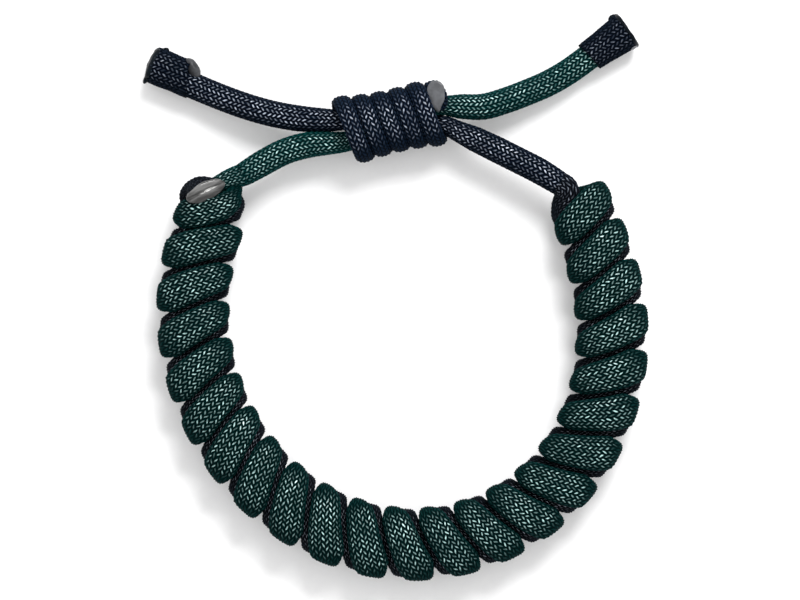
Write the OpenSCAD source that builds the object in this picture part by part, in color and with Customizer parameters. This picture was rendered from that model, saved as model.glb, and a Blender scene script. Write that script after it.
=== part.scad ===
// Rope bracelet: a green cord and a black cord knotted into a round band.
// The two cord tails cross inside a sliding knot and end in braided stoppers.
// It lies on the surface z = 0, and the origin is the middle of the wrist opening.
// Lengths are in millimetres and angles in degrees.

/* [Cord] */
// Diameter of a cord where nothing presses it
cord_d = 4; // [3.8:0.1:4]
// Sides of a cord's section
cord_sides = 8; // [8:2:10]

/* [Ring] */
// Mean radius of the band's centre line
ring_r = 33.1; // [33:0.1:34.5]
// Extra radius along the ring's long axis
ring_oval = 1.3; // [1:0.1:1.5]
// Direction of the ring's long axis
oval_turn = 112; // [108:1:116]
// Direction from the origin to the start of the band
band_start = 145.5; // [145:0.5:146]
// How far the start of the band opens outwards
start_flare = 1.8; // [1.6:0.1:2]
// How far the end of the band opens outwards
end_flare = 1.4; // [1.2:0.1:1.6]
// Share of its reach that a cord loses at the start of the band
start_pinch = 0.08; // [0.04:0.01:0.1]
// Share of its reach that a cord loses at the end of the band
end_pinch = 0.18; // [0.12:0.01:0.2]

/* [Band] */
// Distance from one pass to the next along the centre line
pitch = 6.36; // [6.36:0.02:6.4]
// Where the first pass crosses the outer edge
first_pass = 2.9; // [2.8:0.05:3]
// Reach of the green cord's middle from the centre line
green_reach = 4.35; // [4.3:0.05:4.4]
// Reach of the black cord's middle from the centre line
black_reach = 3.95; // [3.9:0.05:4]
// Rise and fall of each cord round its own middle height
coil_rise = 2.6; // [2.6:0.05:2.7]
// Height of each cord's own middle above or below the band's
coil_apart = 1.2; // [1.15:0.05:1.25]
// Extra slant of a pass, inner edge to outer edge
lean = 2; // [1.8:0.1:2]
// Further slant of the black cord
black_lean = 1.1; // [1:0.1:1.2]
// Further slant of the first pass
start_lean = 2.4; // [2:0.1:2.4]
// Slant that the last pass loses
end_lean = 3; // [2.8:0.1:3]
// How far the first pass bows away from the black cord's cut end
start_bow = 1.6; // [1.5:0.1:1.7]
// Share of its size that the green cord loses before its first pass
start_thin = 0.24; // [0.22:0.01:0.26]
// Share of its width that the first pass loses
start_narrow = 0.2; // [0.18:0.01:0.25]
// Share of the way up at which a pass has its full width
wide_at = 0.75; // [0.7:0.05:0.8]

/* [Pass section] */
// Width of a cord where it lies on the outside
main_w = 5.1; // [4.9:0.05:5.1]
// Thickness of a cord where it lies on the outside
main_h = 3; // [2.8:0.05:3]
// Width of a cord where it turns over an edge
edge_w = 3.4; // [3.2:0.05:3.4]
// Thickness of a cord where it turns over an edge
edge_h = 2.7; // [2.5:0.05:2.7]
// Width of a cord where it goes back through the middle
back_w = 1.6; // [1.4:0.05:1.6]
// Thickness of a cord where it goes back through the middle
back_h = 2; // [1.8:0.05:2]

/* [Sliding knot] */
// Distance from one turn to the next
knot_pitch = 2.85; // [2.85:0.05:2.95]
// Radius of the turns' middle at the waist of the knot
knot_r = 4.15; // [4.15:0.05:4.25]
// Extra radius at the two ends of the knot
knot_swell = 0.6; // [0.5:0.05:0.6]
// How far a turn's top and bottom lie from its middle, along the knot
knot_slant = 0.2; // [0.1:0.05:0.3]
// Width of the cord in the knot
knot_w = 2.7; // [2.4:0.05:2.7]
// Thickness of the cord in the knot
knot_h = 1.6; // [1.4:0.05:1.6]
// Direction in which the tails run through the knot
knot_turn = 12.5; // [12:0.5:13]

/* [Stoppers] */
// Length of the stopper on the black tail
left_len = 7.2; // [6.8:0.1:7.4]
// Widest radius of the stopper on the black tail
left_r = 3; // [2.8:0.05:3]
// How far the stopper on the black tail sits to the outer side of the tail's middle
left_aside = 0.7; // [0.6:0.1:0.8]
// Length of the stopper on the green tail
right_len = 7.6; // [7.2:0.1:7.8]
// Outer radius of the stopper on the green tail
right_r = 2.95; // [2.8:0.05:3]
// Radius of the stopper's mouth on the green tail
right_mouth_r = 2.4; // [2.3:0.05:2.5]

/* [Hidden] */

GREEN = "#12463a";
BLACK = "#23232b";

// Passes of the green cord over the top of the band
passes = 23;
// Turns of the sliding knot round the two tails
knot_turns = 5;
// Rings of the swept cord in each turn round the band
ring_steps = 12;
// A corner of the section stands between the inner and outer circle of its sides
corner = 1.05;
// Share of a corner's distance at which the flat sides lie
flat = cos(180 / cord_sides);
// Arc length of one radian, in degrees
radian = 180 / PI;

// Length of the band along its centre line
band_len = passes * pitch - 0.8;
// Distances over which the flares and the slants at the two ends fade
flare_fade = 7.5;
end_flare_fade = 14;
end_pinch_fade = 25;
lean_fade = 20;
end_lean_fade = 17;
bow_fade = 9;
// Share of its slant by which a pass's section turns, and the share of the way up that it takes
fold_share = 0.8;
fold_fade = 0.2;
// Turn at which the green cord has its full size, and the turns over which it gets it
thin_end = -0.3;
thin_fade = 0.15;
// Height of the band's middle: the lowest passes touch the surface
band_z = coil_apart + coil_rise + main_h / 2 * corner * flat;

// Middle of the sliding knot
knot_x = -1.3;
knot_y = 31.1;
knot_z = 5.6;
// How far, from which turn and over how many turns the knot's cut end draws inwards
knot_tuck = 1.2;
knot_tuck_start = knot_turns - 0.4;
knot_tuck_fade = 0.5;

// Columns of a station: its centre, the way its thin side faces, its width and thickness
CENTRE = 0;
FACING = 1;
WIDTH = 2;
THICK = 3;

function ease(x) = pow(max(0, x), 2);
function unit(v) = v / norm(v);

// Angle of the ring at a length along its centre line
function ring_angle(s) =
    let (a = band_start + radian * s / ring_r)
    a - radian * ring_oval / 2 / ring_r
        * (sin(2 * (a - oval_turn)) - sin(2 * (band_start - oval_turn)));

function ring_radius(a) = ring_r + ring_oval * cos(2 * (a - oval_turn));

// Point at a length s along the band, u outwards from its centre line and z above it
function band_point(s, u, z) =
    let (a = ring_angle(s),
         r = ring_radius(a),
         out = a + atan(2 * ring_oval * sin(2 * (a - oval_turn)) / r),
         flare = start_flare * ease(1 - s / flare_fade)
               + end_flare * ease(1 - (band_len - s) / end_flare_fade),
         v = u + flare)
    [r * cos(a) + v * cos(out), r * sin(a) + v * sin(out), band_z + z];

// Shift along the band for each millimetre outwards
function shear(s) =
    (lean + start_lean * ease(1 - s / lean_fade)
          - end_lean * ease(1 - (band_len - s) / end_lean_fade)) / 2 / green_reach;

// Share of its reach that a cord loses near the two ends of the band
function pinch(s) =
    start_pinch * ease(1 - s / flare_fade) + end_pinch * ease(1 - (band_len - s) / end_pinch_fade);

// How much of the first pass's bow a cord has: all of it on top, none below
function bowed(s, up) = ease(1 - s / bow_fade) * max(0, up);

// Length along the band after a number of turns: side is 1 for green and -1 for black.
// A whole number of turns is at the outer edge, a quarter before it is on top.
function coil_length(turns, side) = first_pass + pitch * (side > 0 ? turns : turns - 0.5);

// Middle of a cord in the band
function coil_point(turns, side) =
    let (c = cos(360 * turns),
         up = -sin(360 * turns),
         s = coil_length(turns, side),
         u = (side > 0 ? green_reach : black_reach) * c * (1 - pinch(s)),
         slant = shear(s) * u + (side > 0 ? start_bow * bowed(s, up) : black_lean / 2 * c))
    band_point(s + slant, u, coil_rise * up + side * coil_apart);

// Thickness that goes from main on the outside, over edge, to back in the middle
function blend(main, edge, back, up) =
    edge + (main - back) / 2 * up + ((main + back) / 2 - edge) * up * up;

// Width that grows from edge to main soon after the edge, and shrinks to back on the way down
function fan(main, edge, back, up) =
    let (far = up > 0 ? main : back,
         share = up > 0 ? min(1, up / wide_at) : -up)
    edge + (far - edge) * (1 - ease(1 - share));

function coil_station(turns, side) =
    let (c = cos(360 * turns),
         up = -sin(360 * turns),
         reach = side > 0 ? green_reach : black_reach,
         s = coil_length(turns, side),
         crowded = shear(s - 0.5) - shear(s + 0.5),
         narrow = side > 0 ? start_narrow * bowed(s, up) : 0,
         thin = 1 - (side > 0 ? start_thin * min(1, max(0, (thin_end - turns) / thin_fade)) : 0),
         squeeze = (1 + reach * c / ring_r) * (1 - reach * c * crowded) * (1 - narrow) * thin,
         middle = band_point(s, 0, 0),
         along = band_point(s + 1, 0, 0) - middle,
         slope = pitch / 2 / PI / reach + shear(s),
         fold = fold_share * slope * max(-1, min(1, up / fold_fade)),
         facing = (band_point(s, 1, 0) - middle + fold * along) * c / reach
                + [0, 0, up / coil_rise])
    [coil_point(turns, side), facing,
     squeeze * fan(main_w, edge_w, back_w, side * up),
     thin * blend(main_h, edge_h, back_h, side * up)];

function coil(from, to, side) =
    let (n = round((to - from) * ring_steps))
    [for (i = [0 : n]) coil_station(from + i / ring_steps, side)];

// Stations of a round cord along a hand-laid route
function round_stations(route) =
    [for (p = route) [[p[0], p[1], p[2]], [0, 0, 1], p[3] * cord_d, p[3] * cord_d]];

// Direction of a swept cord at one of its stations
function heading(stations, i) =
    unit(stations[min(i + 1, len(stations) - 1)][CENTRE] - stations[max(i - 1, 0)][CENTRE]);

function section(station, way) =
    let (side_way = unit(station[FACING] - (station[FACING] * way) * way),
         wide_way = cross(way, side_way))
    [for (k = [0 : cord_sides - 1])
        let (q = (k + 0.5) * 360 / cord_sides)
        station[CENTRE] + station[WIDTH] / 2 * corner * cos(q) * wide_way
                        + station[THICK] / 2 * corner * sin(q) * side_way];

// Moves a section's points along the cord onto a slanted cut
function cut(ring, middle, way, face) =
    [for (p = ring) p + way * (((middle - p) * face) / (way * face))];

// Closed tube through its stations. A start or end way sets the first or last section
// square to that way, and a cut face slants the last section.
module tube(stations, start_way = undef, end_way = undef, cut_face = undef) {
    last = len(stations) - 1;
    n = cord_sides;
    ways = [for (i = [0 : last])
        i == 0 && !is_undef(start_way) ? start_way
        : i == last && !is_undef(end_way) ? end_way
        : heading(stations, i)];
    rings = [for (i = [0 : last])
        let (ring = section(stations[i], ways[i]))
        i == last && !is_undef(cut_face)
            ? cut(ring, stations[i][CENTRE], ways[i], cut_face) : ring];
    sides = [for (i = [0 : last - 1], k = [0 : n - 1])
        let (a = i * n + k, b = i * n + (k + 1) % n)
        each [[a, b + n, a + n], [a, b, b + n]]];
    start_cap = [for (k = [n - 1 : -1 : 0]) k];
    end_cap = [for (k = [0 : n - 1]) last * n + k];
    polyhedron([for (ring = rings) each ring], concat(sides, [start_cap, end_cap]));
}

// Green tail from the band to its stopper: x, y, z, share of the free diameter
GREEN_ROUTE = [
    [-24.6, 22.7, 6.6, 0.9],
    [-21.6, 24.5, 6.2, 1],
    [-18.2, 26.3, 5.9, 1],
    [-14.8, 27.3, 5.7, 1],
    [-11.8, 27.6, 5.6, 0.9],
    [-9.1, 27.8, 5.7, 0.78],
    [-6.5, 28.4, 6.2, 0.68],
    [-4, 29.5, 6.9, 0.68],
    [-1.5, 31, 7.1, 0.68],
    [1, 32.2, 6.9, 0.68],
    [3.5, 33, 6.3, 0.68],
    [6.1, 33.4, 5.6, 0.7],
    [9, 33.3, 5.1, 0.95],
    [12.5, 33.3, 4.6, 1],
    [16, 34.3, 4.1, 1],
    [19.4, 35.6, 3.7, 1],
    [22.6, 37, 3.4, 1],
    [25.7, 38.8, 3.2, 1],
    [28.6, 40.9, 3.1, 1]
];
// Black tail from the band to its stopper: x, y, z, share of the free diameter
BLACK_ROUTE = [
    [24.2, 21.4, 6.4, 0.92],
    [21.1, 23.3, 6.2, 1],
    [17.8, 25, 6, 1],
    [14.4, 26.7, 5.8, 1],
    [11.1, 28.3, 5.7, 0.95],
    [8.7, 29.4, 5.6, 0.8],
    [6.3, 30.5, 5.4, 0.68],
    [3.8, 30.4, 4.9, 0.68],
    [1.2, 30.6, 4.3, 0.68],
    [-1.5, 31, 4.1, 0.68],
    [-4.2, 31.4, 4.3, 0.68],
    [-6.9, 31.5, 5, 0.7],
    [-9.7, 31.2, 5.4, 0.8],
    [-12.6, 31.2, 5.3, 0.92],
    [-16.2, 31.5, 4.9, 1],
    [-20, 32.2, 4.5, 1],
    [-23.6, 33.2, 4.1, 1],
    [-27, 34.4, 3.7, 1],
    [-30, 35.6, 3.3, 1],
    [-32.6, 36.7, 3.1, 1]
];
GREEN_END = GREEN_ROUTE[len(GREEN_ROUTE) - 1];
BLACK_END = BLACK_ROUTE[len(BLACK_ROUTE) - 1];

// Directions of the tails where they leave the band and enter their stoppers
green_exit = unit([3, 1.9, -0.2]);
black_exit = unit([-3.1, 1.9, -0.1]);
green_end_turn = 35;
black_end_turn = 158;
green_end_way = [cos(green_end_turn), sin(green_end_turn), 0];
black_end_way = [cos(black_end_turn), sin(black_end_turn), 0];

// Where the green cord dips and turns back under its first pass, from the tail inwards:
// x, y, z, width, thickness, and the way the thin side faces
GREEN_ENTRY = [
    [-26.5, 22.9, 6.8, 2.2, 2.4, [0, 0, 1]],
    [-28.1, 21.8, 6.9, 2.4, 2.2, [-0.1, 0, 1]],
    [-29.3, 20.7, 6.6, 2.6, 1.8, [-0.6, -0.3, 1]],
    [-29.9, 20.3, 5.5, 2.6, 1.7, [-1, -0.4, 0]],
    [-29.3, 20.7, 4.3, 2.6, 1.8, [-0.6, -0.3, -1]],
    [-28.3, 21.3, 3.9, 2.4, 1.9, [-0.1, 0, -1]]
];
// Where the black cord rises out of its last inner turn towards its tail
BLACK_EXIT = [
    [24.6, 18.2, 5.3, 3, 2.5, [-0.7, -0.2, 0.6]],
    [25.2, 19.4, 6, 3.2, 2.8, [-0.3, -0.2, 1]],
    [25, 20.6, 6.4, 3.2, 3.2, [0, 0, 1]]
];
// Where the black cord rises to its cut end, from the cut downwards
BLACK_CUT = [
    [-30.3, 20.3, 10.4, 5.8, 2.7, [-0.46, 0.89, 0]],
    [-31.2, 21.1, 9, 4.6, 2.2, [-0.5, 0.85, 0]],
    [-32.3, 21.3, 7.5, 3.8, 2.2, [-0.7, 0.6, 0.2]],
    [-33.2, 20.9, 5.8, 3.4, 2.4, [-0.8, 0.5, 0]]
];
black_cut_face = unit([0.35, -0.35, 0.8]);
// The way the sliding knot's visible cut end faces
knot_cut_face = unit([0.75, -0.3, 0.6]);

function hand_stations(rows) = [for (p = rows) [[p[0], p[1], p[2]], p[5], p[3], p[4]]];

module green_strand() {
    color(GREEN)
    tube(concat([round_stations(GREEN_ROUTE)[0]],
                hand_stations(GREEN_ENTRY),
                coil(-2 / 3, passes - 1 + 1 / 4, 1)),
         start_way = -green_exit);
}

module black_strand() {
    exit_stations = concat(coil(0, passes - 0.5, -1), hand_stations(BLACK_EXIT));
    cut_stations = hand_stations(BLACK_CUT);
    all_stations = concat(cut_stations, exit_stations, [round_stations(BLACK_ROUTE)[0]]);
    back = [for (i = [len(all_stations) - 1 : -1 : 0]) all_stations[i]];
    color(BLACK)
    tube(back, start_way = -black_exit, cut_face = black_cut_face);
}

module green_tail() {
    color(GREEN)
    tube(round_stations(GREEN_ROUTE), start_way = green_exit, end_way = green_end_way);
}

module black_tail() {
    color(BLACK)
    tube(round_stations(BLACK_ROUTE), start_way = black_exit, end_way = black_end_way);
}

// Point of the sliding knot: along its axis, and round it from its upper side
function knot_point(along, turn, radius) =
    [knot_x + along * cos(knot_turn) - radius * cos(turn) * sin(knot_turn),
     knot_y + along * sin(knot_turn) + radius * cos(turn) * cos(knot_turn),
     knot_z + radius * sin(turn)];

function knot_station(turns) =
    let (middle = knot_pitch * (turns - knot_turns / 2),
         along = middle - knot_slant * cos(360 * turns),
         end_share = 2 * abs(middle) / knot_pitch / knot_turns,
         radius = knot_r + knot_swell * end_share * end_share
                - knot_tuck * ease((turns - knot_tuck_start) / knot_tuck_fade))
    [knot_point(along, 360 * turns, radius),
     knot_point(along, 360 * turns, radius + 1) - knot_point(along, 360 * turns, radius),
     knot_w, knot_h];

module slider_knot() {
    first = -0.15;
    last = knot_turns + 0.1;
    steps = 52;
    color(BLACK)
    tube([for (i = [0 : steps]) knot_station(first + (last - first) * i / steps)],
         cut_face = knot_cut_face);
}

// Solid of revolution that starts where a tail ends and runs on in its direction
module stopper(end, turn, outline) {
    translate([end[0], end[1], end[2]])
    rotate([0, 90, turn])
    rotate_extrude($fn = 48)
    polygon(outline);
}

module left_stopper() {
    mouth_r = left_r + 0.05;
    rim = 0.5;
    color(BLACK)
    stopper(BLACK_END + left_aside * [sin(black_end_turn), -cos(black_end_turn), 0], black_end_turn,
        [[0, 0], [mouth_r - rim, 0], [mouth_r, rim], [left_r - 0.2, 1.8],
         [left_r - 0.1, left_len - 1.6], [left_r, left_len - 0.9],
         [left_r - 0.6, left_len - 0.2], [0, left_len]]);
}

module right_stopper() {
    rim = 0.3;
    color(BLACK)
    stopper(GREEN_END, green_end_turn,
        [[0, 0], [right_mouth_r - rim, 0], [right_mouth_r, rim],
         [right_r - 0.1, right_len - 1], [right_r, right_len - rim],
         [right_r - rim, right_len], [0, right_len]]);
}

green_strand();
black_strand();
green_tail();
black_tail();
slider_knot();
left_stopper();
right_stopper();
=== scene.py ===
import math

import bmesh
import bpy
from mathutils import Matrix, Vector, noise


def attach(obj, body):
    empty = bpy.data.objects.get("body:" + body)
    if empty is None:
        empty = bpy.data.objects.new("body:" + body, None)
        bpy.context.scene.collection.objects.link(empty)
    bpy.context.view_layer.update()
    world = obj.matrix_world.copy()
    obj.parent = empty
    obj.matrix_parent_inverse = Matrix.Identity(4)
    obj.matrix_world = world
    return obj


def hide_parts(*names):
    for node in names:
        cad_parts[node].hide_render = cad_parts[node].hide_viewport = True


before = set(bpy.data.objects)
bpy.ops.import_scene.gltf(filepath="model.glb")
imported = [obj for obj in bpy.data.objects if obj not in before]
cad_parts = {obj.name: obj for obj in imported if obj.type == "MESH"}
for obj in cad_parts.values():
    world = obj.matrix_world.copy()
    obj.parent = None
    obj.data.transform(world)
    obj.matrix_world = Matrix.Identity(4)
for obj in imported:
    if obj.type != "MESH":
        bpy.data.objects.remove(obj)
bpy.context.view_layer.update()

bl_info = {
    "name": "Rope bracelet",
    "version": (1, 0, 0),
    "blender": (4, 5, 0),
    "location": "3D View > Sidebar > Bracelet",
    "description": "Two braided cords knotted into a bracelet with a sliding knot and melted stoppers",
    "category": "Object",
}

# Lengths are in millimetres and angles in degrees, and the properties in metres
MM = 0.001
RADIAN = 180 / math.pi
FULL_TURN = 2 * math.pi
UP = Vector((0, 0, 1))

# The band: the ring, its two ends and the slant of its passes, as in the solids
RING_R, RING_OVAL, OVAL_TURN, BAND_START = 33.1, 1.3, 112, 145.5
START_FLARE, END_FLARE, FLARE_FADE, END_FLARE_FADE = 1.8, 1.4, 7.5, 14
START_PINCH, END_PINCH, END_PINCH_FADE = 0.08, 0.18, 25
PASSES, PITCH, FIRST_PASS = 23, 6.36, 2.9
RISE, APART = 2.6, 1.2
LEAN, BLACK_LEAN, START_LEAN, END_LEAN = 2.0, 1.1, 2.4, 3.0
LEAN_FADE, END_LEAN_FADE, BOW_FADE = 20, 17, 9
START_BOW, START_NARROW, START_THIN, THIN_END, THIN_FADE = 1.6, 0.2, 0.24, -0.3, 0.15
FOLD_SHARE, FOLD_FADE, WIDE_AT = 0.8, 0.2, 0.75
RING_STEPS = 12
# The band ends a little before a whole pass
SHORT_BY = 0.8
BAND_LEN = PASSES * PITCH - SHORT_BY

# Reach and widths of the green strand, 1, and of the black one, -1, and the thickness of both
REACH = {1: 4.35, -1: 3.95}
WIDE = {1: {"main": 5.0, "edge": 3.0, "back": 1.6}, -1: {"main": 5.2, "edge": 3.4, "back": 2.2}}
THICK = {"main": 3.0, "edge": 2.7, "back": 2.0}
# The solids' eight-sided cords stand on their flat sides, which sets the height of the band's middle
CORNER, FLAT = 1.05, math.cos(math.pi / 8)
BAND_Z = APART + RISE + THICK["main"] / 2 * CORNER * FLAT

# The tails: x, y, z and the share of the free diameter
GREEN_ROUTE = [
    (-24.6, 22.7, 6.6, 0.9), (-21.6, 24.5, 6.2, 1), (-18.2, 26.3, 5.9, 1),
    (-14.8, 27.3, 5.7, 1), (-11.8, 27.6, 5.6, 0.9), (-9.1, 27.8, 5.7, 0.78),
    (-6.5, 28.4, 6.2, 0.68), (-4, 29.5, 6.9, 0.68), (-1.5, 31, 7.1, 0.68),
    (1, 32.2, 6.9, 0.68), (3.5, 33, 6.3, 0.68), (6.1, 33.4, 5.6, 0.7),
    (9, 33.3, 5.1, 0.95), (12.5, 33.3, 4.6, 1), (16, 34.3, 4.1, 1),
    (19.4, 35.6, 3.7, 1), (22.6, 37, 3.4, 1), (25.7, 38.8, 3.2, 1), (28.6, 40.9, 3.1, 1),
]
BLACK_ROUTE = [
    (24.2, 21.4, 6.4, 0.92), (21.1, 23.3, 6.2, 1), (17.8, 25, 6, 1),
    (14.4, 26.7, 5.8, 1), (11.1, 28.3, 5.7, 0.95), (8.7, 29.4, 5.6, 0.8),
    (6.3, 30.5, 5.4, 0.68), (3.8, 30.4, 4.9, 0.68), (1.2, 30.6, 4.3, 0.68),
    (-1.5, 31, 4.1, 0.68), (-4.2, 31.4, 4.3, 0.68), (-6.9, 31.5, 5, 0.7),
    (-9.7, 31.2, 5.4, 0.8), (-12.6, 31.2, 5.3, 0.92), (-16.2, 31.5, 4.9, 1),
    (-20, 32.2, 4.5, 1), (-23.6, 33.2, 4.1, 1), (-27, 34.4, 3.7, 1),
    (-30, 35.6, 3.3, 1), (-32.6, 36.7, 3.1, 1),
]
# Ways in which the tails leave the band, and the directions of their ends
GREEN_EXIT = Vector((3, 1.9, -0.2)).normalized()
BLACK_EXIT_WAY = Vector((-3.1, 1.9, -0.1)).normalized()
GREEN_END_TURN, BLACK_END_TURN = 35, 158
# How far a tail runs on inside its stopper
TAIL_INSIDE = 1.6

# Hidden turns of the strands: x, y, z, width, thickness and the way the thin side faces
GREEN_ENTRY = [
    (-26.4, 22.2, 6.8, 3.0, 2.9, (0, 0, 1)), (-28.1, 21.4, 6.9, 2.6, 2.2, (-0.1, 0, 1)),
    (-29.3, 20.7, 6.6, 2.6, 1.8, (-0.6, -0.3, 1)), (-29.9, 20.3, 5.5, 2.6, 1.7, (-1, -0.4, 0)),
    (-29.3, 20.7, 4.3, 2.6, 1.8, (-0.6, -0.3, -1)), (-28.3, 21.3, 3.9, 2.4, 1.9, (-0.1, 0, -1)),
]
BLACK_EXIT = [
    (24.6, 18.2, 5.3, 3.2, 2.6, (-0.7, -0.2, 0.6)), (25.3, 19.4, 6, 3.9, 2.9, (-0.3, -0.2, 1)),
    (25.1, 20.6, 6.4, 3.9, 3.3, (0, 0, 1)),
]
BLACK_CUT = [
    (-30.3, 20.2, 10.4, 5.6, 2.6, (-0.46, 0.89, 0)), (-31.1, 20.8, 9, 4.5, 2.1, (-0.5, 0.85, 0)),
    (-32.0, 20.8, 7.5, 3.5, 2.1, (-0.7, 0.6, 0.2)), (-33.0, 20.2, 5.8, 3.0, 2.2, (-0.8, 0.5, 0)),
]
STRAND_CUT_FACE = Vector((0.35, -0.35, 0.8)).normalized()

# Heights of the braid over the cord's smooth surface, and the distance at which seams merge
CREST, DIP, GROOVE = 0.07, 0.0, -0.07
SEAM = 0.001
# Columns of stitches round each kind of cord, always an even number
BAND_COLUMNS, KNOT_COLUMNS, CORD_COLUMNS, SLEEVE_COLUMNS = 24, 12, 20, 28

# The sliding knot
KNOT_TURNS, KNOT_PITCH, KNOT_R, KNOT_SWELL, KNOT_SLANT = 5, 2.85, 4.15, 0.6, 0.2
KNOT_W, KNOT_H, KNOT_TURN = 2.7, 1.6, 12.5
KNOT_MIDDLE = (-1.3, 31.1, 5.6)
KNOT_TUCK, KNOT_TUCK_START, KNOT_TUCK_FADE = 1.2, 4.6, 0.5
KNOT_CUT_FACE = Vector((-0.25, -0.1, 0.96)).normalized()
KNOT_FIRST, KNOT_LAST, KNOT_STEPS = -0.15, 5.1, 52
KNOT_END = [
    (5.5, 34.4, 6.0, 3.8, 2.5, (0.97, 0.24, 0)), (5.5, 34.6, 7.6, 4.4, 2.9, (0.97, 0.24, 0)),
    (5.2, 34.7, 9.3, 4.7, 3.0, (0.97, 0.24, 0)),
]

# Melted skins of the two cut ends: radius and height of each ring over the cut
STRAND_SKIN = [
    (1.34, -0.5), (1.5, -0.25), (1.55, 0.05), (1.47, 0.25), (1.3, 0.32), (1.0, 0.28),
    (0.6, 0.24), (0.25, 0.22),
]
KNOT_SKIN = [
    (1.1, -0.3), (1.26, -0.15), (1.33, 0.0), (1.28, 0.15), (1.1, 0.22), (0.7, 0.2), (0.3, 0.18),
]
STRAND_SKIN_MIDDLE, STRAND_SKIN_WIDE = (-30.1, 20.1, 10.4), (0.906, 0.423, -0.211)
KNOT_SKIN_WIDE = (0.098, -0.995, -0.078)
# Direction of the fibres in the strand's cut end, and the place of its painted highlight in metres
FIBRE_TURN, GLARE = 25, (-0.0299, 0.0202, 0.0105)

# Sleeves of the stoppers: distance from the tail's end and radius of each station
LEFT_SLEEVE = [(7.1, 2.55), (6.7, 2.85), (5, 2.9), (4, 2.86), (3, 2.8), (2.1, 2.85), (0.9, 2.9)]
RIGHT_SLEEVE = [(7.3, 3.0), (6.4, 2.92), (5.4, 2.82), (4, 2.7), (2.6, 2.55), (1.2, 2.48), (0.3, 2.4)]
# Melted ends of the stoppers: radius of each ring and its distance from the tail's end
LEFT_RIM = [
    (2.55, 6.3), (2.85, 6.5), (2.92, 6.75), (2.75, 7.05), (2.3, 7.25), (1.5, 7.4), (0.7, 7.5),
]
RIGHT_RIM = [
    (2.8, 7.0), (3.0, 7.1), (3.12, 7.25), (3.12, 7.45), (2.95, 7.65), (2.2, 7.7), (1.0, 7.65),
]
# How far the left stopper sits to the outer side of its tail, and the slants of the two mouths
LEFT_ASIDE, LEFT_MOUTH, RIGHT_MOUTH = 0.7, 0.3, -0.15

# The braid's noises, in cells to a metre
SWAY_SCALE, WANDER_SCALE, PATCH_SCALE, GRAIN_SCALE = 900.0, 420.0, 300.0, 2600.0
# How far a stitch sways across its column, wanders along it and leans
SWAY, WANDER, STITCH_LEAN = 0.5, 0.9, 0.75
# How fast a glint fades across and along its stitch: four would fade it at the stitch's edge
GLINT_ACROSS, GLINT_ALONG, GLINT_POWER = 8, 26, 1.55
# Least brightness of a glint by its stitch, its patch, its grain and its slope
CHANCE_LEAST, PATCH_LEAST, GRAIN_LEAST, SLOPE_LEAST = 0.25, 0.35, 0.45, 0.06
# Ridges of yarn in a stitch, as radians to a stitch, and their height over the stitch's own
FIBRE_RIDGES, FIBRE_HEIGHT = 31.4, 0.06
GROOVE_SHADE = 0.2

# Tints of the melted ends, as shares of red, green and blue
WARM_GREY = (1.04, 1, 0.92)
# Grey of the painted highlight on the strand's cut end
GLARE_GREY = (0.75, 0.75, 0.73, 1)
# The band's black yarn is less blue than the tails'
BAND_BLACK = (1.6, 1, 0.72)

# The camera's sensor, and the height of the bracelet's middle in metres
SENSOR, MIDDLE_HEIGHT = 36, 0.006
# Width of the view, and the way from the wrist opening's middle to its middle, in pixels
VIEW_WIDTH, VIEW_SHIFT = 800, (-2.5, 22.5)
# Place and size of the key light, in metres
KEY_PLACE, KEY_SIZE = (0.18, 0.5, 0.6), 0.35


class CordLook(bpy.types.PropertyGroup):
    """Sizes and colours of the braided cords, and of their painted highlights."""
    diameter: bpy.props.FloatProperty(
        name="Cord diameter", description="Diameter of a free cord",
        default=0.004, min=0.003, max=0.005, subtype="DISTANCE", unit="LENGTH")
    stitch: bpy.props.FloatProperty(
        name="Stitch length", description="Distance from one stitch to the next along the cord",
        default=0.0008, min=0.0005, max=0.002, subtype="DISTANCE", unit="LENGTH")
    relief: bpy.props.FloatProperty(
        name="Stitch relief", description="Height of a stitch over the grooves beside it",
        default=0.00014, min=0.0, max=0.0004, subtype="DISTANCE", unit="LENGTH")
    green_dark: bpy.props.FloatVectorProperty(
        name="Green yarn", description="Deep green of the yarns", subtype="COLOR",
        default=(0.0003, 0.0125, 0.0125), size=3, min=0, max=1)
    # Colour of the painted highlight on the crest of a stitch
    green_painted_glint: bpy.props.FloatVectorProperty(
        name="Green glint", description="Pale green on the crest of a stitch", subtype="COLOR",
        default=(0.4, 0.62, 0.6), size=3, min=0, max=1)
    black_dark: bpy.props.FloatVectorProperty(
        name="Black yarn", description="Blue black of the yarns", subtype="COLOR",
        default=(0.0016, 0.0037, 0.0078), size=3, min=0, max=1)
    # Colour of the painted highlight on the crest of a stitch
    black_painted_glint: bpy.props.FloatVectorProperty(
        name="Black glint", description="Lilac grey on the crest of a stitch", subtype="COLOR",
        default=(0.34, 0.38, 0.46), size=3, min=0, max=1)


class MeltLook(bpy.types.PropertyGroup):
    """Colours of the melted ends."""
    pale: bpy.props.FloatVectorProperty(
        name="Cut end", description="Grey of a melted cut end", subtype="COLOR",
        default=(0.09, 0.093, 0.1), size=3, min=0, max=1)
    dark: bpy.props.FloatVectorProperty(
        name="Stopper melt", description="Dark skin of a melted stopper", subtype="COLOR",
        default=(0.0015, 0.003, 0.0045), size=3, min=0, max=1)


class StageLook(bpy.types.PropertyGroup):
    """Floor, lights and camera."""
    camera_height: bpy.props.FloatProperty(
        name="Camera height", description="Height of the camera over the floor",
        default=0.7, min=0.2, max=2.0, subtype="DISTANCE", unit="LENGTH")
    photo_scale: bpy.props.FloatProperty(
        name="Pixel size", description="Size of a pixel of the view at the bracelet's height",
        default=0.000154, min=0.0001, max=0.001, precision=6, subtype="DISTANCE", unit="LENGTH")
    key: bpy.props.FloatProperty(
        name="Key light", description="Power of the soft light from the upper right",
        default=6.0, min=0, max=100, subtype="POWER", unit="POWER")
    fill: bpy.props.FloatProperty(
        name="Sky", description="Strength of the even light all round", default=1.1, min=0, max=5)


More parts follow.
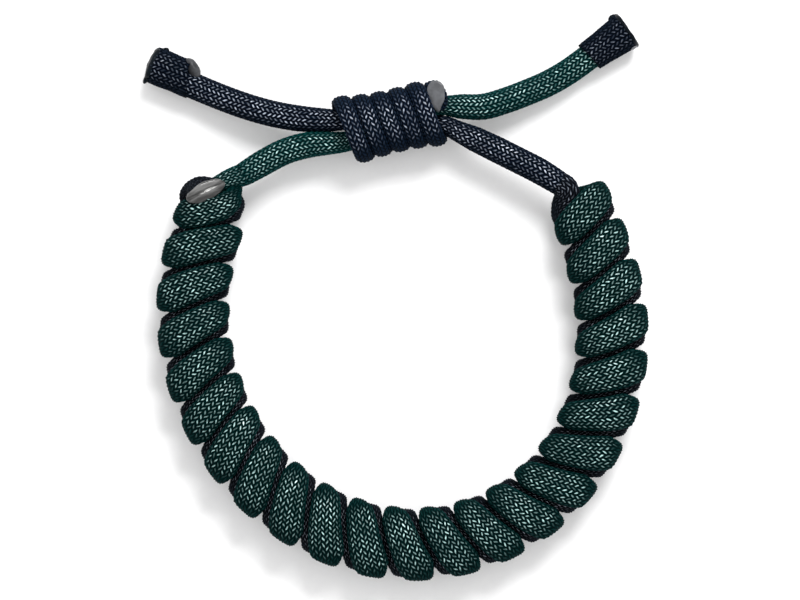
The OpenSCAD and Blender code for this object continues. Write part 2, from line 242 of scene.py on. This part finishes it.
class Tone:
    """A shader socket that Python's operators turn into Math nodes."""

    def __init__(self, paint, socket):
        self.paint = paint
        self.socket = socket

    def maths(self, operation, *values):
        return self.paint.node("ShaderNodeMath", {"operation": operation}, dict(enumerate(values)))

    def __add__(self, other):
        return self.maths("ADD", self, other)

    __radd__ = __add__

    def __sub__(self, other):
        return self.maths("SUBTRACT", self, other)

    def __rsub__(self, other):
        return self.maths("SUBTRACT", other, self)

    def __mul__(self, other):
        return self.maths("MULTIPLY", self, other)

    __rmul__ = __mul__

    def __pow__(self, other):
        return self.maths("POWER", self, other)

    def __mod__(self, other):
        return self.maths("FLOORED_MODULO", self, other)

    def floor(self):
        return self.maths("FLOOR", self)

    def sine(self):
        return self.maths("SINE", self)

    def at_least(self, other):
        return self.maths("MAXIMUM", self, other)

    def ramp(self, low, high):
        """0 below low, 1 above high, smooth between."""
        return self.paint.node(
            "ShaderNodeMapRange", {"interpolation_type": "SMOOTHSTEP"},
            {"Value": self, "From Min": low, "From Max": high})


class Paint:
    """A new material whose nodes are added one call at a time."""

    def __init__(self, name):
        self.material = bpy.data.materials.new(name)
        self.material.use_nodes = True
        self.tree = self.material.node_tree
        self.tree.nodes.clear()

    def node(self, kind, settings=None, sockets=None, output=0):
        """Adds a node with its settings and its inputs, and gives one of its outputs."""
        made = self.tree.nodes.new(kind)
        for key, value in (settings or {}).items():
            setattr(made, key, value)
        for key, value in (sockets or {}).items():
            if isinstance(value, Tone):
                self.tree.links.new(value.socket, made.inputs[key])
            else:
                made.inputs[key].default_value = value
        return Tone(self, made.outputs[output] if made.outputs else None)

    def place(self):
        """Object coordinates."""
        return self.node("ShaderNodeTexCoord", output=3)

    def cloud(self, place, scale, detail=2.0):
        """Soft noise, with its scale in cells to a metre."""
        return self.node(
            "ShaderNodeTexNoise", None, {"Vector": place, "Scale": scale, "Detail": detail})

    def split(self, vector):
        """The three parts of a vector."""
        parts = self.node("ShaderNodeSeparateXYZ", None, {0: vector}).socket.node
        return [Tone(self, part) for part in parts.outputs]

    def blend(self, share, first, second):
        """A colour between two others."""
        return self.node("ShaderNodeMix", {"data_type": "RGBA"}, {0: share, 6: first, 7: second}, 2)

    def finish(self, sockets):
        """Adds the shader and gives the finished material."""
        shader = self.node("ShaderNodeBsdfPrincipled", None, sockets)
        self.node("ShaderNodeOutputMaterial", None, {"Surface": shader})
        return self.material


def colour(value):
    return (*value, 1.0)


def tinted(value, share):
    """A colour times one share, or times a share for each of red, green and blue."""
    shares = share if isinstance(share, tuple) else (share,) * 3
    return [c * s for c, s in zip(value, shares)]


def least(low, tone):
    """A tone from 0 to 1 lifted to one from low to 1."""
    return low + (1 - low) * tone


def braid_material(name, dark, light, glint=1.0, body_share=1.0, start_share=1.0, painted_side_light=1.8,
                   far_glint=0.08):
    """Columns of slanted stitches that lean to and fro, read from the cord's own UV maps.

    The yarns are brighter by body_share everywhere and by start_share where the cord starts.
    By flank they are painted lighter on the sides of a pass, which face away from up: painted
    light. The glints are painted highlights in the base colour of stitches that face up, and
    the same stitches get a real coat. Where a pass turns down, far_glint of its glints is left.
    """
    look = bpy.context.scene.cord_look
    paint = Paint(name)
    along, column, _ = paint.split(paint.node("ShaderNodeUVMap", {"uv_map": "braid"}))
    parity = column.floor() % 2
    across = column - column.floor() - 0.5
    place = paint.place()
    wander = paint.cloud(place, WANDER_SCALE, 1.0)
    sway = paint.cloud(place, SWAY_SCALE, 1.0)
    across = across + (sway - 0.5) * SWAY
    lean = (1 - 2 * parity) * across * STITCH_LEAN
    slanted = along + parity * 0.5 + lean + (wander - 0.5) * WANDER
    stitch = slanted - slanted.floor() - 0.5
    mound = (1 - 4 * across * across).at_least(0) * (1 - 4 * stitch * stitch).at_least(0)
    bar = (1 - GLINT_ACROSS * across * across).at_least(0)
    bar = bar * (1 - GLINT_ALONG * stitch * stitch).at_least(0)

    cell = paint.node("ShaderNodeCombineXYZ", None, {0: column.floor(), 1: slanted.floor()})
    chance = paint.node("ShaderNodeTexWhiteNoise", {"noise_dimensions": "3D"}, {"Vector": cell})
    leaning = paint.node("ShaderNodeCombineXYZ", None, {2: parity})
    aside = paint.node("ShaderNodeVectorMath", {"operation": "ADD"}, {0: place, 1: leaning})
    patch = paint.cloud(aside, PATCH_SCALE)
    grain = paint.cloud(place, GRAIN_SCALE, 1.0)
    lie, top, _ = paint.split(paint.node("ShaderNodeUVMap", {"uv_map": "lie"}))
    # Painted highlight: the glints are kept to corners and passes that face up
    painted_glint_slope = least(SLOPE_LEAST, lie.ramp(0.5, 0.97)) * least(far_glint, top.ramp(0.62, 0.98))
    shine = bar.ramp(0.05, 0.5) * least(CHANCE_LEAST, chance)
    shine = shine * least(PATCH_LEAST, patch.ramp(0.4, 0.6)) * painted_glint_slope
    shine = shine * least(GRAIN_LEAST, grain.ramp(0.38, 0.56)) * (GLINT_POWER * glint)

    yarn = tinted(dark, body_share)
    # Painted light: the sides of a pass, which face away from up, are lighter by flank
    tone = paint.blend(lie.ramp(0.2, 0.85), colour(tinted(yarn, painted_side_light)), colour(yarn))
    share = start_share + (1 - start_share) * along.ramp(2, 14)
    tone = paint.node("ShaderNodeVectorMath", {"operation": "SCALE"}, {0: tone, "Scale": share})
    body = paint.blend(mound.ramp(0.02, 0.6), colour(tinted(dark, GROOVE_SHADE)), tone)
    height = mound ** 0.5 + (slanted * FIBRE_RIDGES).sine() * FIBRE_HEIGHT
    bump = paint.node(
        "ShaderNodeBump", None, {"Strength": 1.0, "Distance": look.relief, "Height": height})
    return paint.finish({
        # Painted highlight: the base colour turns to the glint colour on the glinting stitches, over a
        # real coat
        "Base Color": paint.blend(shine * 0.8, body, colour(light)),
        "Roughness": 0.6 - 0.1 * bar,
        "Specular IOR Level": 0.01,
        "Coat Weight": shine,
        "Coat Roughness": 0.35,
        "Normal": bump,
    })


def melt_material(name, base, pale, coat, relief=0.0002, streak_turn=None, glare=None):
    """Smooth melted nylon with faint dimples, or with fibres that run in one direction.

    A glare is the place of a painted highlight, a bright patch broken up by fine noise.
    """
    paint = Paint(name)
    place = paint.place()
    if glare is not None:
        place = paint.node("ShaderNodeVectorMath", {"operation": "SUBTRACT"}, {0: place, 1: glare})
    if streak_turn is not None:
        place = paint.node(
            "ShaderNodeMapping", {"vector_type": "TEXTURE"},
            {"Vector": place, "Rotation": (0, 0, streak_turn / RADIAN), "Scale": (3.2, 0.42, 1)})
    dimples = paint.cloud(place, 650.0, 3.0)
    fine = paint.cloud(place, 3200.0)
    bump = paint.node(
        "ShaderNodeBump", None,
        {"Strength": 1.0, "Distance": relief, "Height": dimples + fine * 0.15})
    tone = paint.blend(dimples.ramp(0.35, 0.68), colour(base), colour(pale))
    if glare is not None:
        # Painted highlight: a bright grey patch round the glare, broken up by fine noise
        away = paint.node("ShaderNodeVectorMath", {"operation": "LENGTH"}, {0: place}, 1)
        patch = (1 - away.ramp(0.0001, 0.0007)) * fine.ramp(0.4, 0.55)
        tone = paint.blend(patch, tone, GLARE_GREY)
    return paint.finish({
        "Base Color": tone,
        "Roughness": 0.25 + 0.2 * fine,
        "Normal": bump,
        "Specular IOR Level": 0.04,
        "Coat Weight": coat,
        "Coat Roughness": 0.1,
    })


def ease(x):
    return max(0.0, x) ** 2


def blend_size(sizes, up):
    """From main on the outside, over edge, to back in the middle."""
    main, edge, back = sizes["main"], sizes["edge"], sizes["back"]
    return edge + (main - back) / 2 * up + ((main + back) / 2 - edge) * up * up


def fan_size(sizes, up):
    """From edge to main in the first part of the way up, and to back on the way down."""
    far, share = (sizes["main"], up / WIDE_AT) if up > 0 else (sizes["back"], -up)
    return sizes["edge"] + (far - sizes["edge"]) * (1 - (1 - min(1, share)) ** 2)


def band_point(s, u, z):
    """Point at a length s along the band, u outwards from its centre line, z over its middle."""
    a = BAND_START + RADIAN * s / RING_R
    swing = math.sin(2 * (a - OVAL_TURN) / RADIAN) - math.sin(2 * (BAND_START - OVAL_TURN) / RADIAN)
    a = (a - RADIAN * RING_OVAL / 2 / RING_R * swing) / RADIAN
    wobble = 2 * (a - OVAL_TURN / RADIAN)
    r = RING_R + RING_OVAL * math.cos(wobble)
    out = a + math.atan(2 * RING_OVAL * math.sin(wobble) / r)
    v = u + START_FLARE * ease(1 - s / FLARE_FADE)
    v += END_FLARE * ease(1 - (BAND_LEN - s) / END_FLARE_FADE)
    return Vector((r * math.cos(a) + v * math.cos(out), r * math.sin(a) + v * math.sin(out),
                   BAND_Z + z))


def shear(s):
    """Shift along the band for each millimetre outwards."""
    start = START_LEAN * ease(1 - s / LEAN_FADE)
    end = END_LEAN * ease(1 - (BAND_LEN - s) / END_LEAN_FADE)
    return (LEAN + start - end) / 2 / REACH[1]


def coil_station(turns, side):
    """Centre, facing, width and thickness of a strand: side is 1 for green and -1 for black."""
    reach = REACH[side]
    c = math.cos(FULL_TURN * turns)
    up = -math.sin(FULL_TURN * turns)
    s = FIRST_PASS + PITCH * (turns if side > 0 else turns - 0.5)
    pinch = START_PINCH * ease(1 - s / FLARE_FADE)
    pinch += END_PINCH * ease(1 - (BAND_LEN - s) / END_PINCH_FADE)
    u = reach * c * (1 - pinch)
    bowed = ease(1 - s / BOW_FADE) * max(0.0, up)
    slant = shear(s) * u + (START_BOW * bowed if side > 0 else BLACK_LEAN / 2 * c)
    centre = band_point(s + slant, u, RISE * up + side * APART)
    middle = band_point(s, 0, 0)
    fold = FOLD_SHARE * (PITCH / 2 / math.pi / reach + shear(s)) * max(-1, min(1, up / FOLD_FADE))
    outward = band_point(s, 1, 0) - middle + fold * (band_point(s + 1, 0, 0) - middle)
    facing = outward * c / reach + Vector((0, 0, up / RISE))
    crowded = shear(s - 0.5) - shear(s + 0.5)
    narrow = START_NARROW * bowed if side > 0 else 0
    thin = 1 - (START_THIN * min(1, max(0, (THIN_END - turns) / THIN_FADE)) if side > 0 else 0)
    squeeze = (1 + reach * c / RING_R) * (1 - reach * c * crowded) * (1 - narrow) * thin
    width = squeeze * fan_size(WIDE[side], side * up)
    return (centre, facing, width, thin * blend_size(THICK, side * up))


def coil(start, end, side):
    """Stations of a strand from one turn to another."""
    steps = round((end - start) * RING_STEPS)
    return [coil_station(start + i / RING_STEPS, side) for i in range(steps + 1)]


def route_stations(route):
    """Round stations of a tail."""
    size = bpy.context.scene.cord_look.diameter / MM
    return [(Vector(p[:3]), UP, p[3] * size, p[3] * size) for p in route]


def hand_stations(rows):
    return [(Vector(p[:3]), Vector(p[5]), p[3], p[4]) for p in rows]


def level_way(turn):
    """A level direction at a turn from +X."""
    return Vector((math.cos(turn / RADIAN), math.sin(turn / RADIAN), 0))


def knot_point(along, turn, radius):
    """Point at a length along the knot, a turn round it and a distance from its middle line."""
    a, t = KNOT_TURN / RADIAN, FULL_TURN * turn
    x, y, z = KNOT_MIDDLE
    return Vector((x + along * math.cos(a) - radius * math.cos(t) * math.sin(a),
                   y + along * math.sin(a) + radius * math.cos(t) * math.cos(a),
                   z + radius * math.sin(t)))


def knot_station(turns):
    """Centre, facing, width and thickness of the knot's cord."""
    middle = KNOT_PITCH * (turns - KNOT_TURNS / 2)
    along = middle - KNOT_SLANT * math.cos(FULL_TURN * turns)
    share = 2 * abs(middle) / KNOT_PITCH / KNOT_TURNS
    tuck = KNOT_TUCK * ease((turns - KNOT_TUCK_START) / KNOT_TUCK_FADE)
    radius = KNOT_R + KNOT_SWELL * share * share - tuck
    centre = knot_point(along, turns, radius)
    return (centre, knot_point(along, turns, radius + 1) - centre, KNOT_W, KNOT_H)


def smooth_stations(stations, steps):
    """More stations on a smooth curve through the given ones."""
    last = len(stations) - 1
    made = []
    for i in range(last):
        four = [stations[min(max(i + k, 0), last)] for k in (-1, 0, 1, 2)]
        for j in range(steps):
            t = j / steps
            weights = (-t + 2 * t * t - t ** 3, 2 - 5 * t * t + 3 * t ** 3,
                       t + 4 * t * t - 3 * t ** 3, -t * t + t ** 3)
            centre = sum((w / 2 * s[0] for w, s in zip(weights, four)), Vector())
            made.append(between(four[1], four[2], t, centre))
    made.append(stations[last])
    return made


def between(first, second, t, centre):
    """A station at the share t of the way from the first to the second."""
    facing = first[1].normalized().lerp(second[1].normalized(), t)
    width, thick = (first[n] + (second[n] - first[n]) * t for n in (2, 3))
    return (centre, facing, width, thick)


def reached_at(points):
    """Length travelled at each point of a line."""
    reached = [0.0]
    for first, second in zip(points, points[1:]):
        reached.append(reached[-1] + (second - first).length)
    return reached


def even_stations(stations, step):
    """Stations at equal steps along the same curve."""
    reached = reached_at([s[0] for s in stations])
    count = max(2, round(reached[-1] / step))
    made, i = [], 0
    for j in range(count + 1):
        d = reached[-1] * j / count
        while i < len(stations) - 2 and reached[i + 1] < d:
            i += 1
        t = (d - reached[i]) / (reached[i + 1] - reached[i])
        first, second = stations[i], stations[i + 1]
        made.append(between(first, second, t, first[0].lerp(second[0], t)))
    return made


def full(value, fullness):
    """A circle's coordinate moved out towards a square's."""
    return math.copysign(abs(value) ** (2 / fullness), value)


def section(width, thick, fullness, sides):
    """Points at equal steps round a cord's flattened section."""
    fine = 4 * sides
    turns = [FULL_TURN * k / fine for k in range(fine + 1)]
    outline = [Vector((full(math.cos(a), fullness) * width / 2,
                       full(math.sin(a), fullness) * thick / 2)) for a in turns]
    reached = reached_at(outline)
    points, i = [], 0
    for k in range(sides):
        d = reached[-1] * k / sides
        while reached[i + 1] < d:
            i += 1
        t = (d - reached[i]) / (reached[i + 1] - reached[i])
        points.append(outline[i].lerp(outline[i + 1], t))
    return points


def lay_grid(bm, rings):
    """A grid with one row of corners on each ring, and each corner's ring and place round it."""
    last, sides = len(rings) - 1, len(rings[0])
    places = {}
    for v in bmesh.ops.create_grid(bm, x_segments=last, y_segments=sides, size=1)["verts"]:
        ring, side = round((v.co.x + 1) / 2 * last), round((v.co.y + 1) / 2 * sides)
        v.co = rings[ring][side % sides]
        places[v] = (ring, side)
    return places


def close_tube(bm, places, sides):
    """Merges the seam where a grid meets itself and fills the tube's two ends."""
    seam = [v for v, (_, side) in places.items() if side in (0, sides)]
    bmesh.ops.remove_doubles(bm, verts=seam, dist=SEAM)
    bmesh.ops.holes_fill(bm, edges=[e for e in bm.edges if e.is_boundary], sides=0)


def sweep(name, stations, start_way=None, end_way=None, cut_face=None, fullness=2.0,
          columns=CORD_COLUMNS, backwards=False, swell=1.0):
    """A closed tube along the stations, with its braid in two UV maps and in relief."""
    stitch = bpy.context.scene.cord_look.stitch / MM
    stations = even_stations(stations, stitch / 2)
    sides, last = 2 * columns, len(stations) - 1
    rings, tops = [], []
    for i, (centre, facing, width, thick) in enumerate(stations):
        before, after = stations[max(i - 1, 0)][0], stations[min(i + 1, last)][0]
        way = (after - before).normalized()
        if i == 0 and start_way is not None:
            way = start_way
        if i == last and end_way is not None:
            way = end_way
        side_way = (facing - facing.dot(way) * way).normalized()
        wide_way = way.cross(side_way)
        spots = [centre + swell * (p.x * wide_way + p.y * side_way)
                 for p in section(width, thick, fullness, sides)]
        if i == last and cut_face is not None:
            spots = [p + way * ((centre - p).dot(cut_face) / way.dot(cut_face)) for p in spots]
        rings.append(spots)
        tops.append(side_way.z)
    travelled = [d / stitch for d in reached_at([s[0] for s in stations])]

    bm = bmesh.new()
    braid = bm.loops.layers.uv.new("braid")
    lie = bm.loops.layers.uv.new("lie")
    places = lay_grid(bm, rings)
    for face in bm.faces:
        face.smooth = True
        for loop in face.loops:
            ring, side = places[loop.vert]
            u, turn = travelled[ring], side / sides
            loop[braid].uv = (-u, columns * (1 - turn)) if backwards else (u, columns * turn)
    close_tube(bm, places, sides)
    bmesh.ops.recalc_face_normals(bm, faces=bm.faces)
    bm.normal_update()
    for face in bm.faces:
        # The lie map holds how far each corner and its station face up, which the braid's painted
        # highlights and painted side light read
        for loop in face.loops:
            loop[lie].uv = (loop.vert.normal.z, tops[places[loop.vert][0]])
    for v in bm.verts:
        ring, side = places[v]
        if 0 < ring < last:
            column, inside = divmod(side, 2)
            rise = (CREST if (ring + column) % 2 else DIP) if inside else GROOVE
            v.co += v.normal * rise
    return finish_mesh(name, bm)


def finish_mesh(name, bm, size=MM):
    """Scales a mesh to metres and makes its object."""
    bmesh.ops.scale(bm, vec=(size, size, size), verts=bm.verts)
    mesh = bpy.data.meshes.new(name)
    bm.to_mesh(mesh)
    bm.free()
    piece = bpy.data.objects.new(name, mesh)
    bpy.context.scene.collection.objects.link(piece)
    return piece


def dress(piece, material, slot, *nodes):
    """Gives a piece its material and its body, and hides the parts that it stands for. Its slot, the
    finish, is not used.
    """
    piece.data.materials.append(material)
    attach(piece, "root")
    if nodes:
        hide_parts(*nodes)
    return piece


def lathe(bm, profile, centre, axis, roughness, seed, wide=UP, stretch=1.0, sides=40, taper=0.0):
    """A closed melted skin of uneven rings round an axis, each with its own radius and height.

    The rings are longer by stretch towards wide, and narrower by taper at that end.
    """
    noise.seed_set(seed)
    axis = Vector(axis).normalized()
    first = Vector(wide)
    first = (first - first.dot(axis) * axis).normalized()
    second = axis.cross(first)
    ring = bmesh.ops.create_circle(bm, segments=sides, radius=1)["verts"]
    unit = [v.co.copy() for v in ring]
    edges = [e for e in bm.edges if e.is_wire]
    for i, (radius, height) in enumerate(profile):
        if i:
            made = bmesh.ops.extrude_edge_only(bm, edges=edges)["geom"]
            new = {g for g in made if isinstance(g, bmesh.types.BMVert)}
            ring = [next(e.other_vert(v) for e in v.link_edges if e.other_vert(v) in new)
                    for v in ring]
            edges = [g for g in made
                     if isinstance(g, bmesh.types.BMEdge) and all(v in new for v in g.verts)]
        for v, place in zip(ring, unit):
            spot = Vector(centre) + axis * height
            spot += first * place.x * radius * stretch
            spot += second * place.y * radius * (1 - taper * place.x)
            v.co = spot + noise.noise_vector(spot * 0.7) * roughness
    bmesh.ops.holes_fill(bm, edges=[e for e in bm.edges if e.is_boundary], sides=0)


def blob(bm, centre, sizes, axis, roughness, seed):
    """A small melted lump."""
    noise.seed_set(seed)
    turn = Vector((1, 0, 0)).rotation_difference(Vector(axis).normalized()).to_matrix().to_4x4()
    shape = Matrix.Translation(centre) @ turn @ Matrix.Diagonal((*sizes, 1))
    made = bmesh.ops.create_icosphere(bm, subdivisions=3, radius=1, matrix=shape)["verts"]
    for v in made:
        v.co += noise.noise_vector(v.co * 1.1) * roughness


def melted_piece(name, skins, blobs, material, slot):
    """One object of melted skins and lumps, each given by the values of its own call."""
    bm = bmesh.new()
    for values in skins:
        lathe(bm, *values)
    for values in blobs:
        blob(bm, *values)
    bmesh.ops.recalc_face_normals(bm, faces=bm.faces)
    for face in bm.faces:
        face.smooth = True
    return dress(finish_mesh(name, bm), material, slot)


def sleeve(name, end, turn, aside, mouth, rows):
    """A braided sleeve from its far end back to its mouth, which a slant cuts.

    Gives its piece, its direction, the way to its outer side and its start.
    """
    way = level_way(turn)
    out = way.cross(UP) if way.x < 0 else UP.cross(way)
    base = Vector(end[:3]) + out * aside
    stations = smooth_stations([(base + way * d, UP, 2 * r, 2 * r) for d, r in rows], 3)
    face = (out * mouth - way).normalized()
    piece = sweep(name, stations, -way, -way, face, columns=SLEEVE_COLUMNS, backwards=True)
    return piece, way, out, base


class BRACELET_OT_strands(bpy.types.Operator):
    """Make the two strands that are knotted into the band"""
    bl_idname = "bracelet.strands"
    bl_label = "Strands"

    def execute(self, context):
        look = context.scene.cord_look
        green = [route_stations(GREEN_ROUTE)[0], *hand_stations(GREEN_ENTRY),
                 *coil(-2 / 3, PASSES - 1 + 1 / 4, 1)]
        piece = sweep("green_band", smooth_stations(green, 6), start_way=-GREEN_EXIT,
                      fullness=2.6, columns=BAND_COLUMNS)
        material = braid_material("green_braid", look.green_dark, look.green_painted_glint, start_share=2.0)
        dress(piece, material, "green_cord", "green_strand")

        black = [*hand_stations(BLACK_CUT), *coil(0, PASSES - 0.5, -1),
                 *hand_stations(BLACK_EXIT), route_stations(BLACK_ROUTE)[0]]
        piece = sweep("black_band", smooth_stations(black[::-1], 6), start_way=-BLACK_EXIT_WAY,
                      cut_face=STRAND_CUT_FACE, fullness=2.6, columns=BAND_COLUMNS)
        material = braid_material("black_braid", tinted(look.black_dark, BAND_BLACK),
                                  look.black_painted_glint, glint=0.6, body_share=1.5,
                                  start_share=1.5, painted_side_light=2, far_glint=0.6)
        dress(piece, material, "black_cord", "black_strand")
        return {"FINISHED"}


class BRACELET_OT_sliding_knot(bpy.types.Operator):
    """Wind the sliding knot round the two tails"""
    bl_idname = "bracelet.sliding_knot"
    bl_label = "Sliding knot"

    def execute(self, context):
        look = context.scene.cord_look
        rows = [knot_station(KNOT_FIRST + (KNOT_LAST - KNOT_FIRST) * i / KNOT_STEPS)
                for i in range(KNOT_STEPS + 1)]
        piece = sweep("sliding_knot", smooth_stations(rows, 3), swell=1.03, fullness=2.2,
                      columns=KNOT_COLUMNS)
        material = braid_material("knot_braid", look.black_dark, look.black_painted_glint, glint=0.95,
                                  body_share=2.7, painted_side_light=1.2)
        dress(piece, material, "black_cord", "slider_knot")
        rows = smooth_stations(hand_stations(KNOT_END), 4)
        piece = sweep("knot_cord_end", rows, cut_face=KNOT_CUT_FACE)
        dress(piece, material, "black_cord")
        return {"FINISHED"}


class BRACELET_OT_cut_ends(bpy.types.Operator):
    """Add the melted skins on the cords' cut ends"""
    bl_idname = "bracelet.cut_ends"
    bl_label = "Cut ends"

    def execute(self, context):
        pale = context.scene.melt_look.pale
        grey = tinted(pale, WARM_GREY)
        material = melt_material("strand_end_melt", tinted(grey, 0.25), tinted(grey, 1.6), coat=0.7,
                                 relief=0.0005, streak_turn=FIBRE_TURN, glare=GLARE)
        skin = (STRAND_SKIN, STRAND_SKIN_MIDDLE, STRAND_CUT_FACE, 0.14, 3, STRAND_SKIN_WIDE, 2.1, 48)
        melted_piece("strand_cut_end", [skin], [], material, "cut_end")
        material = melt_material("knot_end_melt", tinted(pale, 0.8), tinted(pale, 1.2), coat=0.2)
        skin = (KNOT_SKIN, KNOT_END[-1][:3], KNOT_CUT_FACE, 0.12, 5, KNOT_SKIN_WIDE, 1.78, 48, 0.4)
        melted_piece("knot_cut_end", [skin], [], material, "cut_end")
        return {"FINISHED"}


class BRACELET_OT_stoppers(bpy.types.Operator):
    """Make the melted end sleeves on the two tails"""
    bl_idname = "bracelet.stoppers"
    bl_label = "Stoppers"

    def execute(self, context):
        look, melt = context.scene.cord_look, context.scene.melt_look
        pale = melt.pale
        braid = braid_material("sleeve_braid", look.black_dark, look.black_painted_glint, glint=0.4,
                               body_share=1.5, painted_side_light=1.2)
        skin = melt_material("stopper_melt", melt.dark, tinted(melt.dark, 2), coat=0.02)
        lip = melt_material("stopper_lip", tinted(pale, 0.3), tinted(pale, 0.6), coat=0.05)
        clear = melt_material("right_lip_melt", tinted(pale, 1.6), tinted(pale, 3.4), coat=0.4)

        piece, way, out, base = sleeve(
            "left_sleeve", BLACK_ROUTE[-1], BLACK_END_TURN, LEFT_ASIDE, LEFT_MOUTH, LEFT_SLEEVE)
        dress(piece, braid, "stopper_melt", "left_stopper")
        melted_piece("left_melt", [(LEFT_RIM, base, way, 0.25, 7)], [
            (base + way * 5.7 + out * 2.9, (0.35, 0.55, 0.5), out, 0.12, 4),
            (base + way * 6.9 - out * 2.5 + UP * 0.6, (0.35, 0.85, 0.7), way, 0.12, 9),
        ], skin, "stopper_melt")
        melted_piece("left_lip", [], [
            ((-32.4, 39.3, 4.2), (1.75, 0.95, 0.9), (0.51, -0.86, 0), 0.12, 3),
        ], lip, "cut_end")

        piece, way, out, base = sleeve(
            "right_sleeve", GREEN_ROUTE[-1], GREEN_END_TURN, 0, RIGHT_MOUTH, RIGHT_SLEEVE)
        dress(piece, braid, "stopper_melt", "right_stopper")
        melted_piece("right_melt", [(RIGHT_RIM, base, way, 0.14, 11)], [
            (base + way * 6.7 + out * 2.9, (0.45, 0.7, 0.4), out, 0.1, 6),
        ], skin, "stopper_melt")
        melted_piece("right_lip", [], [
            (base + way * 6.9 - out * 2.7 + UP * 0.5, (0.8, 0.4, 0.7), way, 0.15, 8),
        ], clear, "cut_end")
        return {"FINISHED"}


class BRACELET_OT_tails(bpy.types.Operator):
    """Lay the two tails through the sliding knot"""
    bl_idname = "bracelet.tails"
    bl_label = "Tails"

    def execute(self, context):
        look = context.scene.cord_look
        for name, route, exit_way, turn, node, extras, dark, light, painted_side_light in (
            ("green_cord_tail", GREEN_ROUTE, GREEN_EXIT, GREEN_END_TURN, "green_tail",
             ["right_sleeve", "right_melt", "right_lip",
              "sliding_knot", "knot_cord_end", "knot_cut_end"],
             look.green_dark, look.green_painted_glint, 1.5),
            ("black_cord_tail", BLACK_ROUTE, BLACK_EXIT_WAY, BLACK_END_TURN, "black_tail",
             ["left_sleeve", "left_melt", "left_lip"], look.black_dark, look.black_painted_glint, 1.0),
        ):
            end_way = level_way(turn)
            inside = [(*(Vector(route[-1][:3]) + end_way * TAIL_INSIDE), 1)]
            rows = smooth_stations(route_stations(route + inside), 6)
            piece = sweep(name, rows, start_way=exit_way, end_way=end_way)
            slot = node.replace("tail", "cord")
            material = braid_material(name + "_braid", dark, light, glint=1.2, body_share=2.1,
                                      painted_side_light=painted_side_light)
            dress(piece, material, slot, node)
            path = [r[0] * MM for r in rows]
            round(reached_at(path)[-1], 3)
        return {"FINISHED"}


class BRACELET_OT_stage(bpy.types.Operator):
    """Set the floor, the lights and the camera over the bracelet"""
    bl_idname = "bracelet.stage"
    bl_label = "Stage"

    def execute(self, context):
        look, scene = context.scene.stage_look, context.scene
        bm = bmesh.new()
        bmesh.ops.create_grid(bm, x_segments=2, y_segments=2, size=3)
        floor = finish_mesh("floor", bm, 1)
        paint = Paint("floor_paper")
        grain = paint.cloud(paint.place(), 900.0)
        floor.data.materials.append(paint.finish({
            "Base Color": paint.blend(grain, (0.86, 0.855, 0.86, 1), (0.9, 0.9, 0.9, 1)),
            "Roughness": 0.9,
        }))

        world = bpy.data.worlds.new("studio")
        world.use_nodes = True
        sky = world.node_tree.nodes["Background"]
        sky.inputs["Color"].default_value = (1, 1, 1, 1)
        sky.inputs["Strength"].default_value = look.fill
        scene.world = world
        lamp = bpy.data.lights.new("key", "AREA")
        lamp.shape = "DISK"
        lamp.size = KEY_SIZE
        lamp.energy = look.key
        light = bpy.data.objects.new("key", lamp)
        light.location = KEY_PLACE
        light.rotation_euler = (-Vector(KEY_PLACE)).to_track_quat("-Z", "Y").to_euler()
        scene.collection.objects.link(light)

        camera = bpy.data.cameras.new("camera")
        camera.sensor_width = SENSOR
        seen_width = VIEW_WIDTH * look.photo_scale
        camera.lens = SENSOR * (look.camera_height - MIDDLE_HEIGHT) / seen_width
        camera.clip_start, camera.clip_end = 0.01, 10
        eye = bpy.data.objects.new("camera", camera)
        eye.location = (*(shift * look.photo_scale for shift in VIEW_SHIFT), look.camera_height)
        scene.collection.objects.link(eye)
        scene.camera = eye
        scene.view_settings.view_transform = "Standard"
        return {"FINISHED"}


class BRACELET_PT_panel(bpy.types.Panel):
    """The bracelet's pieces, in the order in which they are made"""
    bl_idname = "BRACELET_PT_panel"
    bl_label = "Rope bracelet"
    bl_space_type = "VIEW_3D"
    bl_region_type = "UI"
    bl_category = "Bracelet"

    def draw(self, context):
        for key in GROUPS:
            group = getattr(context.scene, key)
            for value in group.__annotations__:
                self.layout.prop(group, value)
        for step in STEPS:
            self.layout.operator(step.bl_idname)


STEPS = (
    BRACELET_OT_strands,
    BRACELET_OT_sliding_knot,
    BRACELET_OT_cut_ends,
    BRACELET_OT_stoppers,
    BRACELET_OT_tails,
    BRACELET_OT_stage,
)
GROUPS = {"cord_look": CordLook, "melt_look": MeltLook, "stage_look": StageLook}


def register():
    for group in GROUPS.values():
        bpy.utils.register_class(group)
    for step in (*STEPS, BRACELET_PT_panel):
        bpy.utils.register_class(step)
    for key, group in GROUPS.items():
        setattr(bpy.types.Scene, key, bpy.props.PointerProperty(type=group))


def unregister():
    for key in GROUPS:
        delattr(bpy.types.Scene, key)
    for step in reversed((*STEPS, BRACELET_PT_panel)):
        bpy.utils.unregister_class(step)
    for group in GROUPS.values():
        bpy.utils.unregister_class(group)


def main():
    register()
    bpy.ops.bracelet.strands()
    bpy.ops.bracelet.sliding_knot()
    bpy.ops.bracelet.cut_ends()
    bpy.ops.bracelet.stoppers()
    bpy.ops.bracelet.tails()
    bpy.ops.bracelet.stage()
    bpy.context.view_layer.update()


if __name__ == "__main__":
    main()
